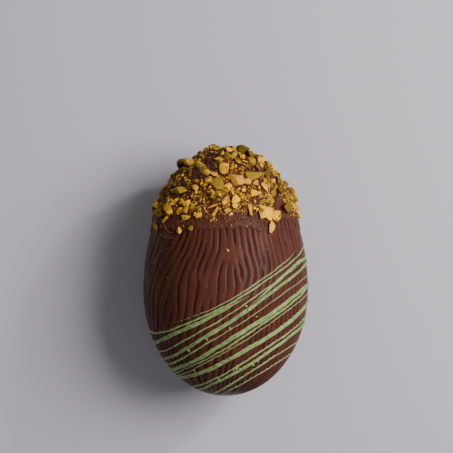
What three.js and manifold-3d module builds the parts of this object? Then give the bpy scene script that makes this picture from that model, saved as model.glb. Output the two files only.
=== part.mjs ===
// A chocolate Easter egg, lying on its back as it would on a table.
//
// The egg has two sub-parts:
//   chocolate_shell  the moulded egg with its bark relief, and the green chocolate drizzled over it
//   pistachio_cap    the coat of chocolate round the narrow end, with the chopped pistachios set in it
//
// Units are millimetres and +Z is up. The long axis lies along Y, with the coated narrow end at +Y.
// The shapes are worked out on an egg whose widest ring is at y = 0 and whose axis is at z = 0. The whole
// group is then moved so that the origin is under the middle of the egg, on the surface it rests on.

import * as THREE from 'three';
import { mergeVertices } from 'three/addons/utils/BufferGeometryUtils.js';
import Module from 'manifold-3d';

const wasm = await Module();
wasm.setup();

// ---------------------------------------------------------------- driving dimensions

const SHELL_LENGTH = 167;
const SHELL_WIDTH = 112;
const WIDE_END = 72;          // from the widest ring to the wide end
const REST_DEPTH = 1.0;       // how much the small flat spot under the egg takes off its roundness
const REST_Y = 2.5;           // where that spot is, along the axis
const REST_CLEAR = 17;        // no relief this near to its middle

const GROOVES = 32;           // bark grooves round the egg
const GROOVE_DEPTH = 0.8;
const SHELL_ROWS = 18;        // rings of facets from end to end

const CAP_EDGE_FRONT = 41;    // the coat ends here on top of the egg, measured from the widest ring
const CAP_EDGE_BACK = 38;     // and here underneath
const CAP_THICKNESS = 2.0;
const CAP_EDGE_THICKNESS = 1.3;
const CAP_TAPER = 22;         // the coat thins out over this distance from its edge
const CAP_GAP = 0.3;          // clearance between the coat and the shell
const CAP_CLEARANCE = 1.2;    // how far the cap stays above what the egg rests on
const CAP_COLUMNS = 50;
const CAP_ROWS = 8;

const DRIZZLE_HEIGHT = 0.6;   // how far the drizzle stands out of the ridges
const DRIZZLE_ROOT = 1.1;     // how far it reaches down into the grooves
const DRIZZLE_STEPS = 16;
const DRIZZLE_OVERHANG = 20;  // degrees that a line runs on, past the egg's side

// Each line of drizzle fell in a plane that crosses the egg aslant. `at` is where it crosses the middle
// line on top of the egg, `slope` how it climbs to the right, `lean` how it drifts as the surface drops.
const DRIZZLE = [
  { at: -6.5, slope: 0.55, lean: 0.32, width: 1.6 },
  { at: -10.5, slope: 0.555, lean: 0.13, width: 3.0 },
  { at: -15.8, slope: 0.645, lean: 0.08, width: 1.6 },
  { at: -21.0, slope: 0.665, lean: 0.065, width: 2.4 },
  { at: -26.5, slope: 0.645, lean: 0.04, width: 1.4 },
  { at: -32.5, slope: 0.63, lean: 0.055, width: 3.2 },
  { at: -38.2, slope: 0.635, lean: 0.085, width: 2.0 },
  { at: -47.7, slope: 0.575, lean: 0.145, width: 2.8 },
  { at: -56.8, slope: 0.62, lean: 0.075, width: 2.6 },
  { at: -63.0, slope: 0.6, lean: 0.0, width: 1.6 },
];

const CHIPS = 110;            // chopped pistachios all round the cap
const CHIP_LARGEST = 6.6;     // half length of the biggest pieces
const CHIP_SMALLEST = 2.8;
const CHIP_RISE = 0.2;        // how far a piece's middle is above the coat, as a share of its half length
const CHIP_SEED = 20;
const CHIP_SPREAD = [0.754878, 0.569840];  // steps along and around the cap, which never line up

const NARROW_END = SHELL_LENGTH - WIDE_END;
const HALF_WIDTH = SHELL_WIDTH / 2;

// ---------------------------------------------------------------- colours

const CHOCOLATE = new THREE.MeshStandardMaterial({ color: 0x5a3024, roughness: 0.42, metalness: 0 });
const PISTACHIO = new THREE.MeshStandardMaterial({ color: 0xb08f3a, roughness: 0.6, metalness: 0 });

// ---------------------------------------------------------------- helpers

/** A repeatable source of numbers from 0 to 1. */
function numbers(seed) {
  let state = seed >>> 0;
  return () => {
    state = (Math.imul(state, 1664525) + 1013904223) >>> 0;
    return state / 2 ** 32;
  };
}

/** A geometry as a closed solid. */
function solid(geometry) {
  const bare = geometry.index ? geometry.toNonIndexed() : geometry.clone();
  bare.deleteAttribute('normal');
  bare.deleteAttribute('uv');
  const merged = mergeVertices(bare, 1e-4);
  const corners = merged.index.array;
  const kept = [];
  for (let i = 0; i < corners.length; i += 3) {
    const [a, b, c] = [corners[i], corners[i + 1], corners[i + 2]];
    if (a !== b && b !== c && c !== a) kept.push(a, b, c);
  }
  return new wasm.Manifold(new wasm.Mesh({
    numProp: 3,
    vertProperties: new Float32Array(merged.attributes.position.array),
    triVerts: new Uint32Array(kept),
  }));
}

/** A closed solid as a named mesh. */
function meshOf(body, name, material) {
  const { vertProperties, triVerts, numProp } = body.getMesh();
  const points = new Float32Array((vertProperties.length / numProp) * 3);
  for (let i = 0; i < points.length / 3; i += 1) {
    points.set(vertProperties.subarray(i * numProp, i * numProp + 3), i * 3);
  }
  const geometry = new THREE.BufferGeometry();
  geometry.setAttribute('position', new THREE.BufferAttribute(points, 3));
  geometry.setIndex(new THREE.BufferAttribute(new Uint32Array(triVerts), 1));
  geometry.computeVertexNormals();
  const mesh = new THREE.Mesh(geometry, material);
  mesh.name = name;
  return mesh;
}

/** The largest of a body's separate pieces, without any loose scraps. */
function largestPiece(body) {
  return body.decompose().reduce((best, piece) => (piece.volume() > best.volume() ? piece : best));
}

// ---------------------------------------------------------------- the egg's form

/** Half length of the egg on the side of the widest ring where y lies. */
function halfLength(y) {
  return y > 0 ? NARROW_END : WIDE_END;
}

/** Radius of the egg at y. */
function radiusAt(y) {
  return HALF_WIDTH * Math.sqrt(Math.max(0, 1 - (y / halfLength(y)) ** 2));
}

/** Outward normal of the egg at a point on it. */
function normalAt(point) {
  const flat = HALF_WIDTH ** 2;
  return new THREE.Vector3(point.x / flat, point.y / halfLength(point.y) ** 2, point.z / flat).normalize();
}

/** Whether a point is inside the egg. */
function isInside(point) {
  return Math.abs(point.y) < halfLength(point.y) && Math.hypot(point.x, point.z) < radiusAt(point.y);
}

/** The egg as a closed surface, each point raised along its normal by lift(around, y, column). */
function eggGeometry(columns, rows, lift, sway = () => 0) {
  const geometry = new THREE.SphereGeometry(1, columns, rows);
  const position = geometry.attributes.position;
  const point = new THREE.Vector3();
  for (let i = 0; i < position.count; i += 1) {
    point.fromBufferAttribute(position, i);
    const y = point.y * halfLength(point.y);
    const ring = Math.hypot(point.x, point.z) * HALF_WIDTH;
    const around = Math.atan2(point.x, point.z);
    const turned = around + sway(around, y);
    point.set(Math.sin(turned) * ring, y, Math.cos(turned) * ring);
    point.addScaledVector(normalAt(point), lift(around, y, i % (columns + 1), point));
    position.setXYZ(i, point.x, point.y, point.z);
  }
  return geometry;
}

// ---------------------------------------------------------------- the shell and its relief

/** Where the coat of chocolate ends, along the axis. */
function capEdge(around) {
  const front = (1 + Math.cos(around)) / 2;
  const wave = 1.2 * Math.sin(5 * around + 1) + 0.9 * Math.sin(9 * around) + 0.6 * Math.sin(13 * around);
  return CAP_EDGE_BACK + (CAP_EDGE_FRONT - CAP_EDGE_BACK) * front + wave;
}

/** How strong the bark relief is: full on the bare shell, none under the coat or on the resting spot. */
function reliefStrength(around, y, point) {
  const bare = 1 - THREE.MathUtils.smoothstep(y, capEdge(around) - 2, capEdge(around) + 4);
  const fromRest = Math.hypot(point.x, point.y - REST_Y, point.z + HALF_WIDTH);
  const unrubbed = THREE.MathUtils.smoothstep(fromRest, REST_CLEAR, REST_CLEAR * 1.5);
  const offPole = THREE.MathUtils.smoothstep(WIDE_END + y, 0.5, 8);
  return bare * unrubbed * offPole;
}

/** The grooves wander to and fro along the egg, and slant towards the lower left on its left side. */
function barkSway(around, y) {
  const wander = 0.022 * Math.sin(y / 9 + 3 * around) + 0.016 * Math.sin(y / 5 - 7 * around + 2);
  const slant = 0.1 * Math.exp(-(((around + 0.7) / 0.6) ** 2)) * Math.sin(y / 32);
  return wander + slant;
}

/** Grooves are the odd columns. Each one comes and goes along its length, as in bark. */
function barkLift(around, y, column, point) {
  const isGroove = column % 2 === 1;
  if (!isGroove) return 0;
  const comesAndGoes = 0.72 + 0.28 * Math.sin(y / 11 + column * 2.4);
  return -GROOVE_DEPTH * comesAndGoes * reliefStrength(around, y, point);
}

/** The egg with its relief and the flat spot that it rests on. */
function shellBody() {
  const egg = solid(eggGeometry(2 * GROOVES, SHELL_ROWS, barkLift, barkSway));
  const floor = new THREE.BoxGeometry(2 * SHELL_WIDTH, 2 * SHELL_LENGTH, SHELL_WIDTH);
  floor.translate(0, 0, -HALF_WIDTH + REST_DEPTH - SHELL_WIDTH / 2);
  return egg.subtract(solid(floor));
}

// ---------------------------------------------------------------- the drizzle

/** Points along one line of drizzle, where its plane cuts the egg, from its left end to its right. */
function drizzlePath({ at, slope, lean }) {
  const inPlane = (x, z) => new THREE.Vector3(x, at + slope * x + lean * (HALF_WIDTH - z), z);
  const across = [];
  for (let x = -HALF_WIDTH; x <= HALF_WIDTH; x += 0.5) {
    if (isInside(inPlane(x, 0))) across.push(x);
  }
  const middle = (across[0] + across[across.length - 1]) / 2;
  const overhang = THREE.MathUtils.degToRad(DRIZZLE_OVERHANG);
  const path = [];
  for (let i = 0; i <= DRIZZLE_STEPS; i += 1) {
    const turn = Math.PI + overhang - (i / DRIZZLE_STEPS) * (Math.PI + 2 * overhang);
    let [low, high] = [0, SHELL_LENGTH];
    for (let halving = 0; halving < 30; halving += 1) {
      const reach = (low + high) / 2;
      if (isInside(inPlane(middle + reach * Math.cos(turn), reach * Math.sin(turn)))) low = reach;
      else high = reach;
    }
    path.push(inPlane(middle + low * Math.cos(turn), low * Math.sin(turn)));
  }
  return path;
}

/** One line of drizzle: a long box bent over the egg, narrower at its two ends, and grown by a margin. */
function drizzleBody(line, margin = 0) {
  const path = drizzlePath(line);
  const box = new THREE.BoxGeometry(1, 1, 1, DRIZZLE_STEPS, 1, 1);
  const position = box.attributes.position;
  for (let i = 0; i < position.count; i += 1) {
    const step = Math.round((position.getX(i) + 0.5) * DRIZZLE_STEPS);
    const here = path[step];
    const ahead = path[Math.min(step + 1, DRIZZLE_STEPS)];
    const behind = path[Math.max(step - 1, 0)];
    const normal = normalAt(here);
    const along = ahead.clone().sub(behind).normalize();
    const across = normal.clone().cross(along).normalize();
    const isEnd = step === 0 || step === DRIZZLE_STEPS;
    const isTop = position.getZ(i) > 0;
    const width = line.width * (isEnd ? 0.35 : 1) * (isTop ? 0.75 : 1.15) + 2 * margin;
    const point = here.clone()
      .addScaledVector(across, position.getY(i) * width)
      .addScaledVector(normal, isTop ? DRIZZLE_HEIGHT + margin : -DRIZZLE_ROOT);
    position.setXYZ(i, point.x, point.y, point.z);
  }
  return solid(box);
}

// ---------------------------------------------------------------- the coat and its pistachios

/** Thickness of the coat, which is lumpy, and thinner near its edge. */
function coatLift(around, y) {
  const lumps = 0.5 * Math.sin(7 * around + y / 4) + 0.4 * Math.sin(12 * around - y / 3);
  const offPole = radiusAt(y) / HALF_WIDTH;
  const fromEdge = THREE.MathUtils.smoothstep(y - capEdge(around), 0, CAP_TAPER);
  return THREE.MathUtils.lerp(CAP_EDGE_THICKNESS, CAP_THICKNESS + lumps * offPole, fromEdge);
}

/**
 * The coat as a closed bowl. The upper half of a sphere becomes its outside, from the egg's narrow end down
 * to the coat's ragged edge. The lower half becomes its inside, sunk into the shell.
 */
function coatGeometry() {
  const geometry = new THREE.SphereGeometry(1, CAP_COLUMNS, 2 * CAP_ROWS);
  const position = geometry.attributes.position;
  const point = new THREE.Vector3();
  for (let i = 0; i < position.count; i += 1) {
    point.fromBufferAttribute(position, i);
    const isOutside = i < (CAP_ROWS + 1) * (CAP_COLUMNS + 1);
    const around = Math.atan2(point.x, point.z);
    const shareToEdge = Math.acos(Math.min(1, Math.abs(point.y))) / (Math.PI / 2);
    const y = NARROW_END * Math.cos(shareToEdge * Math.acos(capEdge(around) / NARROW_END));
    point.set(radiusAt(y) * Math.sin(around), y, radiusAt(y) * Math.cos(around));
    point.addScaledVector(normalAt(point), isOutside ? coatLift(around, y) : -CAP_THICKNESS);
    position.setXYZ(i, point.x, point.y, point.z);
  }
  return geometry;
}

/** One chopped pistachio, an uneven block with cut faces, set into the coat. */
function chipBody(around, y, size, random) {
  const block = new THREE.BoxGeometry(2, 2, 2).deleteAttribute('normal').deleteAttribute('uv');
  const bare = mergeVertices(block);
  const position = bare.attributes.position;
  const uneven = (number) => number * (1 - 0.45 * random());
  for (let i = 0; i < position.count; i += 1) {
    position.setXYZ(i, uneven(position.getX(i)), uneven(position.getY(i)), uneven(position.getZ(i)));
  }
  bare.scale(size, size * (0.6 + 0.3 * random()), size * (0.3 + 0.16 * random()));
  bare.rotateX(0.6 * (random() - 0.5));
  bare.rotateZ(2 * Math.PI * random());
  const place = new THREE.Vector3(radiusAt(y) * Math.sin(around), y, radiusAt(y) * Math.cos(around));
  const normal = normalAt(place);
  bare.applyQuaternion(new THREE.Quaternion().setFromUnitVectors(new THREE.Vector3(0, 0, 1), normal));
  place.addScaledVector(normal, coatLift(around, y) + CHIP_RISE * size);
  bare.translate(place.x, place.y, place.z);
  return solid(bare);
}

/** The pistachios, spread evenly over the cap, the largest first and fewer towards its edge. */
function chipBodies() {
  const random = numbers(CHIP_SEED);
  const edgeShare = 1 - CAP_EDGE_BACK / NARROW_END;
  const chips = [];
  for (let i = 0; i < CHIPS; i += 1) {
    const share = ((i * CHIP_SPREAD[0]) % 1) ** 1.3;
    const y = NARROW_END * (1 - share * edgeShare);
    const around = 2 * Math.PI * i * CHIP_SPREAD[1];
    const size = THREE.MathUtils.lerp(CHIP_LARGEST, CHIP_SMALLEST, Math.sqrt(i / CHIPS));
    const chip = chipBody(around, y, size * (0.85 + 0.3 * random()), random);
    const isClear = chip.boundingBox().min[2] > REST_DEPTH + CAP_CLEARANCE - HALF_WIDTH;
    if (isClear && y > capEdge(around) + size) chips.push(chip);
  }
  return chips;
}

/** The coat with its pistachios, hollowed to fit over the shell. */
function capBody() {
  const withChips = wasm.Manifold.union([solid(coatGeometry()), ...chipBodies()]);
  const chord = 1 / Math.cos(Math.PI / CAP_COLUMNS) - 1;
  const hollow = eggGeometry(CAP_COLUMNS, SHELL_ROWS, (around, y) => CAP_GAP + chord * radiusAt(y));
  const highestLine = drizzleBody(DRIZZLE[0], CAP_GAP);
  return largestPiece(withChips.subtract(solid(hollow)).subtract(highestLine));
}

// ---------------------------------------------------------------- the whole egg

const shell = wasm.Manifold.union([shellBody(), ...DRIZZLE.map((line) => drizzleBody(line))]);
const egg = new THREE.Group();
egg.add(meshOf(largestPiece(shell), 'chocolate_shell', CHOCOLATE));
egg.add(meshOf(capBody(), 'pistachio_cap', PISTACHIO));

const reach = new THREE.Box3().setFromObject(egg);
const middle = reach.getCenter(new THREE.Vector3());
egg.position.set(-middle.x, -middle.y, HALF_WIDTH - REST_DEPTH);

export default egg;
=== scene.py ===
# %% [markdown]
# # A chocolate egg with chopped pistachios
#
# The egg is moulded milk chocolate with a bark relief. Its narrow end is dipped in rough chocolate and
# rolled in chopped pistachios, and thin lines of green chocolate are drizzled aslant over its wide end.
# It lies on its back on a plain floor, and the camera looks straight down on it.

# %% Load the frame
import math

import bpy
import numpy as np
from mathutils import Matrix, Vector


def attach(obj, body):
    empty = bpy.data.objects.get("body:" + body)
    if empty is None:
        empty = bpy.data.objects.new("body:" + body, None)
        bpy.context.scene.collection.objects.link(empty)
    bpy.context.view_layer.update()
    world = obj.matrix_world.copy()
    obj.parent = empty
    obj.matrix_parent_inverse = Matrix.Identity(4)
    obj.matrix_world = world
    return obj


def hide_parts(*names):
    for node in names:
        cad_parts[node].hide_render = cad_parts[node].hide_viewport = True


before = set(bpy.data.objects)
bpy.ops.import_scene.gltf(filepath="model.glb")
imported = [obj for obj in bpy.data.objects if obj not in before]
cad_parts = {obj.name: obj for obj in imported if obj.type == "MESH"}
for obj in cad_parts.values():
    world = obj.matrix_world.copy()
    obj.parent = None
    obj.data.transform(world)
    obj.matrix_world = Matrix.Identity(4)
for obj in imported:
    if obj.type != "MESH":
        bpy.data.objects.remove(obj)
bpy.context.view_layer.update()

bpy.ops.object.select_all(action="DESELECT")

# %% [markdown]
# ## Where things are on an egg
#
# Every piece here sits on the same egg, so places are given on it as on a globe. `around` is the angle
# from the top of the lying egg towards its right side. `along` is the distance from the widest ring
# towards the narrow end. One function then turns such a place, and a height over the surface, into a
# point. A list of points by hand would be harder to change, and a lattice would be less exact.

# %% The egg's form
MM = 0.001
HALF_WIDTH = 56 * MM
WIDE_END = 72 * MM
NARROW_END = 95 * MM


def read_points(piece):
    """A mesh's points, one row for each."""
    points = np.empty(3 * len(piece.data.vertices))
    piece.data.vertices.foreach_get("co", points)
    return points.reshape(-1, 3)


shell_points = read_points(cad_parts["chocolate_shell"])
WIDE_TIP = shell_points[shell_points[:, 1].argmin()]
WIDEST = WIDE_TIP + (0, WIDE_END, 0)
print("middle of the widest ring in mm:", np.round(1000 * WIDEST, 2))


def half_length(along):
    """Half length of the egg, on the side of the widest ring where the place lies."""
    return np.where(along > 0, NARROW_END, WIDE_END)


def radius_at(along):
    """Radius of the egg's rings."""
    return HALF_WIDTH * np.sqrt(np.clip(1 - (along / half_length(along)) ** 2, 0, 1))


def outward(around, along):
    """Unit normals of the smooth egg."""
    radius = radius_at(along)
    across = radius / HALF_WIDTH**2
    normal = np.stack([across * np.sin(around), along / half_length(along) ** 2, across * np.cos(around)], -1)
    return normal / np.linalg.norm(normal, axis=-1, keepdims=True)


def on_egg(around, along, height=0.0):
    """Points at a height over the smooth egg."""
    radius = radius_at(along)
    flat = np.stack([radius * np.sin(around), along + 0 * around, radius * np.cos(around)], -1)
    return WIDEST + flat + outward(around, along) * np.asarray(height)[..., None]


def smoothstep(value, low, high):
    """Rises smoothly from 0 at low to 1 at high."""
    share = np.clip((value - low) / (high - low), 0, 1)
    return share * share * (3 - 2 * share)


def near(around, along, spot, reach):
    """1 at a spot on the egg, falling to 0 at a few times the reach from it."""
    across = np.angle(np.exp(1j * (around - spot[0]))) * radius_at(along)
    return np.exp(-(across**2 + (along - spot[1]) ** 2) / reach**2)


# %% [markdown]
# ## The bark relief
#
# The mould has narrow dark grooves between wide smooth ridges, like bark. Most run the whole length, but
# some wander, fork or end. A sculpt brush could draw them one by one. Here they come from a phase that
# grows with the angle round the egg: a groove lies where it passes a whole turn. A whirl in the phase
# makes one groove more on one side of it than on the other, so each whirl is a fork or an end of a groove,
# and can be put anywhere. The grooves round it bend out of its way by themselves. A slow wave added to the
# phase puts the grooves closer together on the right than on the left.

# %% Smooth random waves, which join up all the way round


def random_waves(seed, most_turns, wavelength, count=14):
    """A smooth random field over the egg, about -1 to 1, with the given coarseness around and along."""
    random = np.random.default_rng(seed)
    turns = random.integers(-most_turns, most_turns + 1, count)
    pace = random.uniform(-1, 1, count) * 2 * math.pi / wavelength
    start = random.uniform(0, 2 * math.pi, count)

    def field(around, along):
        total = sum(np.cos(t * around + p * along + s) for t, p, s in zip(turns, pace, start))
        return total * math.sqrt(2 / count)

    return field


wander = random_waves(11, 3, 40 * MM)
wobble = random_waves(31, 12, 9 * MM)
unevenness = random_waves(4, 30, 30 * MM)

# %% Where the coat ends and where the relief fades
COAT_EDGE_FRONT = 41 * MM
COAT_EDGE_BACK = 38 * MM
COAT_NOTCH = 7 * MM
NOTCH_BEGINS = (0.62, 0.78)
NOTCH_ENDS = (1.05, 1.4)
# Waves of the coat's edge: mm high, how many go round the egg, and their start in radians.
EDGE_WAVES = ((0.6, 5, 1), (0.5, 9, 0), (0.4, 13, 0))
FADE_FROM = 2 * MM
FADE_TO = 8 * MM
REST_ALONG = 2.5 * MM
REST_CLEAR = 17 * MM
TIP_FADE = (6 * MM, 26 * MM)
KNOT = (0.085, 25 * MM)
KNOT_REACH = 9 * MM
KNOT_SMOOTHED = 0.9


def coat_edge(around):
    """Where the rough chocolate ends, along the egg, with a notch on the right."""
    front = (1 + np.cos(around)) / 2
    wave = sum(height * np.sin(count * around + start) for height, count, start in EDGE_WAVES)
    notch = smoothstep(around, *NOTCH_BEGINS) * (1 - smoothstep(around, *NOTCH_ENDS)) * COAT_NOTCH
    return COAT_EDGE_BACK + (COAT_EDGE_FRONT - COAT_EDGE_BACK) * front + wave * MM + notch


def relief_strength(around, along):
    """Full on the bare shell, little at the smooth knot, none under the coat and where the egg rests."""
    bare = 1 - smoothstep(along, coat_edge(around) + FADE_FROM, coat_edge(around) + FADE_TO)
    from_rest = np.hypot(radius_at(along) * np.sin(around), along - REST_ALONG)
    rubbed = (np.cos(around) < 0) * (1 - smoothstep(from_rest, REST_CLEAR, 1.5 * REST_CLEAR))
    off_tip = smoothstep(radius_at(along), *TIP_FADE)
    knot = smoothstep(near(around, along, KNOT, KNOT_REACH), 0.35, 0.75)
    return bare * off_tip * (1 - rubbed) * (1 - KNOT_SMOOTHED * knot)


# %% Where the grooves fork
# Degrees from the top, mm along the egg, and 1 where a groove begins or -1 where one ends, going down.
FORKS = (
    (1.2, 20.3, 1), (5.2, 17.4, 1), (11, 7.6, -1), (26.5, 16.8, -1), (-18, 10, -1), (-12, -4, 1),
    (-40, -8, 1), (32, -12, 1), (18, -10, 1), (6, -20, 1), (-22, -34, -1),
)
BACK_FORKS = 32
BACK_FORKS_AROUND = (62, 298)
BACK_FORKS_ALONG = (-45, 34)

random = np.random.default_rng(5)
back_forks = np.stack([random.uniform(*BACK_FORKS_AROUND, BACK_FORKS),
                       random.uniform(*BACK_FORKS_ALONG, BACK_FORKS),
                       np.resize((-1, 1), BACK_FORKS)], -1)
forks = np.concatenate([FORKS, back_forks]) * (math.pi / 180, MM, 1)
print("the grooves have", len(forks), "forks and ends")

# %% How far the grooves slant
# Slants are in radians for each metre along the egg, and the lower one is for the wide half's length.
LEFT_FROM = (0.02, 0.75)
LEFT_UNTIL = (1.6, 3.0)
LEFT_SLANT = 3.0
UPPER_LEFT_SLANT = 4.6
UPPER_FROM = 2 * MM
UPPER_BEND = 6 * MM
LOWER_SLANT = 0.25
LOWER_SLANT_FROM = -20 * MM


def lean_of_grooves(around, along):
    """How far the grooves have turned aside, in radians: on the left, and near the wide end."""
    side = smoothstep(-around, *LEFT_FROM) * (1 - smoothstep(-around, *LEFT_UNTIL))
    upper = UPPER_BEND * np.log1p(np.exp((along - UPPER_FROM) / UPPER_BEND))
    left = (LEFT_SLANT * along + UPPER_LEFT_SLANT * upper) * side
    return left + LOWER_SLANT * np.minimum(along - LOWER_SLANT_FROM, 0) / WIDE_END


# %% The grooves and the ridges between them
GROOVES = 63
GROOVE_DEPTH = 0.5 * MM
GROOVE_WIDTH = 0.85 * MM
RIDGE_ROUNDNESS = 0.12 * MM
USUAL_DEPTH = 0.85
DEPTH_VARIES = 0.25
SMALLEST_RING = 10 * MM
WHIRL_HEIGHT = 50 * MM
FORK_FADE = 2 * MM
FORK_SHALLOWER = 0.8
# In radians of the phase, which grows by a whole turn from one groove to the next.
GROOVES_START = 1.57
CLOSER_ON_RIGHT = 7.0
WANDERING = 1.6
WOBBLING = 0.14


def bark(around, along):
    """The groove's share of the relief, from 0 on a ridge to 1 in a groove, and the ridge's roundness."""
    phase = GROOVES * (around - lean_of_grooves(around, along)) + WANDERING * wander(around, along)
    phase += GROOVES_START - CLOSER_ON_RIGHT * np.cos(2 * around) + WOBBLING * wobble(around, along)
    steady = np.ones_like(phase)
    for fork_around, fork_along, charge in forks:
        aside = around - fork_around
        whirl = np.angle(np.sin((aside + 1j * (along - fork_along) / WHIRL_HEIGHT) / 2))
        phase += charge * (whirl + aside / 2)
        steady -= FORK_SHALLOWER * near(around, along, (fork_around, fork_along), FORK_FADE)
    turned = np.angle(np.exp(1j * phase))
    pitch = 2 * math.pi * np.maximum(radius_at(along), SMALLEST_RING) / GROOVES
    offset = turned / (2 * math.pi) * pitch
    depth = USUAL_DEPTH + DEPTH_VARIES * unevenness(around, along)
    groove = np.exp(-((offset / GROOVE_WIDTH) ** 2)) * steady * depth
    roundness = (1 - np.cos(turned)) / 2
    return groove, roundness


def shell_height(around, along):
    """Height of the bare shell over the smooth egg."""
    groove, roundness = bark(around, along)
    return relief_strength(around, along) * ((roundness - 1) * RIDGE_ROUNDNESS - GROOVE_DEPTH * groove)


# %% [markdown]
# ## The moulded shell
#
# A UV sphere already has rings and columns like an egg's, so it is added once with many columns, and
# each of its points is moved to its place on the egg, lowered by the relief. Most rings go to the bare
# part, and only a few close the form under the coat. A subdivided cube would spread its points evenly,
# but its edges would cross the grooves aslant and make them jagged.

# %% Add a sphere and move its points
SHELL_COLUMNS = 820
SHELL_RINGS = 120
BARE_SHARE = 0.94
BARE_TOP = 58 * MM
SHELL_SUNK = 1.2 * MM
SINKS_OVER = 6 * MM


def add_sphere(name, columns, rings):
    """A UV sphere, with each point's angle round it and its share of the way from pole to pole."""
    bpy.ops.object.select_all(action="DESELECT")
    bpy.ops.mesh.primitive_uv_sphere_add(segments=columns, ring_count=rings, radius=1)
    ball = bpy.context.object
    ball.name = name
    ball.data.name = name
    x, y, z = read_points(ball).T
    return ball, np.arctan2(y, x), np.arccos(np.clip(-z, -1, 1)) / math.pi


def move_points(piece, points):
    """Puts a mesh's points at new places, with its faces turned outwards."""
    piece.data.vertices.foreach_set("co", points.ravel())
    bpy.ops.object.mode_set(mode="EDIT")
    bpy.ops.mesh.select_all(action="SELECT")
    bpy.ops.mesh.normals_make_consistent(inside=False)
    bpy.ops.object.mode_set(mode="OBJECT")
    bpy.ops.object.shade_smooth()
    piece.data.update()


def set_attribute(piece, name, values, domain="POINT"):
    """Keeps one number for each point or face, for the materials to read."""
    attribute = piece.data.attributes.new(name, "FLOAT", domain)
    attribute.data.foreach_set("value", np.asarray(values, dtype=np.float32))


shell, around, share = add_sphere("moulded_shell", SHELL_COLUMNS, SHELL_RINGS)
top_angle = math.asin(BARE_TOP / NARROW_END)
bare_angle = -math.pi / 2 + (math.pi / 2 + top_angle) * share / BARE_SHARE
hidden_angle = top_angle + (math.pi / 2 - top_angle) * (share - BARE_SHARE) / (1 - BARE_SHARE)
angle = np.where(share < BARE_SHARE, bare_angle, hidden_angle)
along = np.sin(angle) * np.where(angle > 0, NARROW_END, WIDE_END)
sunk = SHELL_SUNK * smoothstep(along, BARE_TOP - SINKS_OVER, BARE_TOP)
points = on_egg(around, along, shell_height(around, along) - sunk)
points[:, 2] = np.maximum(points[:, 2], 0)
move_points(shell, points)
set_attribute(shell, "groove", bark(around, along)[0] * relief_strength(around, along))
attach(shell, "root")
print("shell:", len(shell.data.polygons), "faces")

# %% [markdown]
# ## The rough coat
#
# The narrow end was dipped in chocolate, which set lumpy. Its ragged edge is thin and fills the grooves. It
# is a bowl: the upper part of a sphere becomes its outside, and the rest turns back inside it, hidden in
# the shell. Its lumps come from Displace modifiers with cloud textures of several sizes, which are then
# applied. Sculpting would give the same look, but the modifiers can be changed and run again.

# %% The coat's thickness and its edge
COAT_THICKNESS = 2.0 * MM
COAT_EDGE_THICKNESS = 0.55 * MM
COAT_TAPER = 22 * MM
COAT_SUNK = 1.0 * MM
COAT_COLUMNS = 480
COAT_RINGS = 160
COAT_INNER_SHARE = 0.1
RIM_WIDTH = 1.6 * MM
SWIRL = (-0.78, 42.5 * MM)
SWIRL_REACH = 6 * MM
SWIRL_HEIGHT = 1 * MM

ragged = random_waves(21, 60, 40 * MM, 24)
bay = random_waves(22, 18, 40 * MM)


def coat_lift(around, along):
    """Height of the coat over the smooth egg, thinner towards its edge."""
    lumps = 0.5 * np.sin(7 * around + along / (4 * MM)) + 0.4 * np.sin(12 * around - along / (3 * MM))
    off_pole = radius_at(along) / HALF_WIDTH
    from_edge = smoothstep(along - coat_edge(around), 0, COAT_TAPER)
    full = COAT_THICKNESS + lumps * off_pole * MM
    swirl = near(around, along, SWIRL, SWIRL_REACH) * SWIRL_HEIGHT
    return COAT_EDGE_THICKNESS + (full - COAT_EDGE_THICKNESS) * from_edge + swirl


# %% Shape the coat
EDGE_RAGGED = 0.65
EDGE_BAYS = 0.4
# Sizes of lumps: mm across, mm high, and how many finer layers of noise each has.
COAT_LUMPS = ((8, 2.6, 1), (3, 1.8, 2), (1.2, 1.1, 1))
LUMPS_AT_EDGE = 0.3
LUMPS_FULL_FROM = 12 * MM


def add_lumps(piece, size, height, layers, group):
    """Moves a group of a piece's points along their normals by a cloud pattern, for good."""
    texture = bpy.data.textures.new(f"{piece.name}_clouds", "CLOUDS")
    texture.noise_scale = size
    texture.noise_depth = layers
    bpy.ops.object.modifier_add(type="DISPLACE")
    modifier = piece.modifiers[-1]
    modifier.texture = texture
    modifier.strength = height
    modifier.mid_level = 0.5
    modifier.vertex_group = group
    bpy.ops.object.modifier_apply(modifier=modifier.name)


coat, around, share = add_sphere("rough_coat", COAT_COLUMNS, COAT_RINGS)
edge = coat_edge(around) + (EDGE_RAGGED * ragged(around, 0) + EDGE_BAYS * bay(around, 0)) * MM
edge_angle = np.arcsin(edge / NARROW_END)
outside = share >= COAT_INNER_SHARE
climb = np.where(outside, (share - COAT_INNER_SHARE) / (1 - COAT_INNER_SHARE), 1 - share / COAT_INNER_SHARE)
along = NARROW_END * np.sin(edge_angle + (math.pi / 2 - edge_angle) * climb)
rim = np.sqrt(smoothstep(along - edge, 0, RIM_WIDTH)) * outside
height = -COAT_SUNK + (coat_lift(around, along) + COAT_SUNK) * rim
move_points(coat, on_egg(around, along, height))
group = coat.vertex_groups.new(name="outside")
lumpiness = LUMPS_AT_EDGE + (1 - LUMPS_AT_EDGE) * smoothstep(along - edge, 0, LUMPS_FULL_FROM)
for index, weight in enumerate(rim * lumpiness):
    group.add([index], float(weight), "REPLACE")
for size, height, layers in COAT_LUMPS:
    add_lumps(coat, size * MM, height * MM, layers, "outside")
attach(coat, "root")
print("coat:", len(coat.data.polygons), "faces")

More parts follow.
